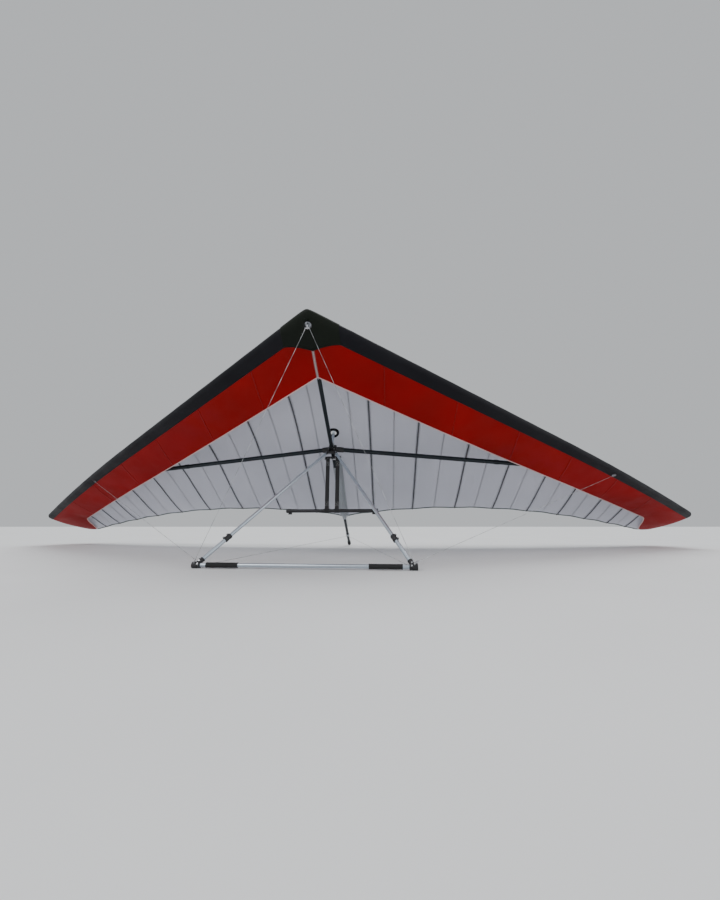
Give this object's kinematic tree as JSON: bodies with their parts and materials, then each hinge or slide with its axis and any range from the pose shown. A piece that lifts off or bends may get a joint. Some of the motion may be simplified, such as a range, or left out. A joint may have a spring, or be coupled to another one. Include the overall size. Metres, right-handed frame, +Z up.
{
  "type": "hang glider",
  "caption": "Kingposted flex-wing hang glider parked on its base bar and keel tail, with a triangular control frame and swinging hang straps.",
  "frame": {"origin": "middle of the plan at floor level, the glider standing on the two ends of its base bar and the tail of its keel", "axes": "+Z up, +X to the pilot's left along the span, the nose faces -Y"},
  "size_m": [9.84, 3.4932, 2.3031],
  "materials": {
    "red_cloth": "coated sailcloth, satin",
    "white_cloth": "thin sailcloth that lets light through",
    "black_cloth": "stiff coated cloth",
    "olive_cloth": "stiff coated cloth, dark olive",
    "dark_tube": "dark anodised tube",
    "silver_tube": "clear anodised tube",
    "fitting": "machined, satin",
    "black_plastic": "moulded, fine grain",
    "grip_rubber": "ribbed sleeve",
    "webbing": "woven polyester webbing",
    "steel_wire": "stranded cable, 3 mm"
  },
  "bodies": {
    "airframe": {"apex_bracket": "black_plastic", "base_bar": "silver_tube", "base_bar_grip_left": "grip_rubber", "base_bar_grip_right": "grip_rubber", "corner_bracket_left": "black_plastic", "corner_bracket_right": "black_plastic", "crossbar_bracket_left": "fitting", "crossbar_bracket_right": "fitting", "crossbar_junction": "black_cloth", "crossbar_left": "dark_tube", "crossbar_right": "dark_tube", "downtube_collar_left": "black_plastic", "downtube_collar_right": "black_plastic", "downtube_left": "silver_tube", "downtube_right": "silver_tube", "hang_bracket": "black_plastic", "keel_pocket": "white_cloth", "keel_tube": "dark_tube", "kingpost": "silver_tube", "kingpost_base": "fitting", "kingpost_cap": "black_plastic", "leading_edge_pocket_left": "black_cloth", "leading_edge_pocket_right": "black_cloth", "leading_edge_tube_left": "dark_tube", "leading_edge_tube_right": "dark_tube", "lower_front_wire_left": "steel_wire", "lower_front_wire_right": "steel_wire", "lower_rear_wire_left": "steel_wire", "lower_rear_wire_right": "steel_wire", "lower_sail_left": "red_cloth", "lower_sail_right": "red_cloth", "lower_side_wire_left": "steel_wire", "lower_side_wire_right": "steel_wire", "nose_cone": "olive_cloth", "nose_plate_bottom": "fitting", "nose_plate_top": "fitting", "tail_cap": "black_plastic", "tail_fitting": "fitting", "upper_front_wire": "steel_wire", "upper_rear_wire": "steel_wire", "upper_sail_left": "white_cloth", "upper_sail_right": "white_cloth", "upper_side_wire_left": "steel_wire", "upper_side_wire_right": "steel_wire"},
    "hang_straps": {"hang_strap_left": "webbing", "hang_strap_right": "webbing", "spreader_bar": "black_plastic"}
  },
  "joints": [
    {"name": "hang_strap_swing", "type": "hinge", "parent": "airframe", "child": "hang_straps", "pos_m": [0, -0.28863, 1.07332], "axis": [1, 0, 0], "range_deg": [-48, 52]}
  ]
}
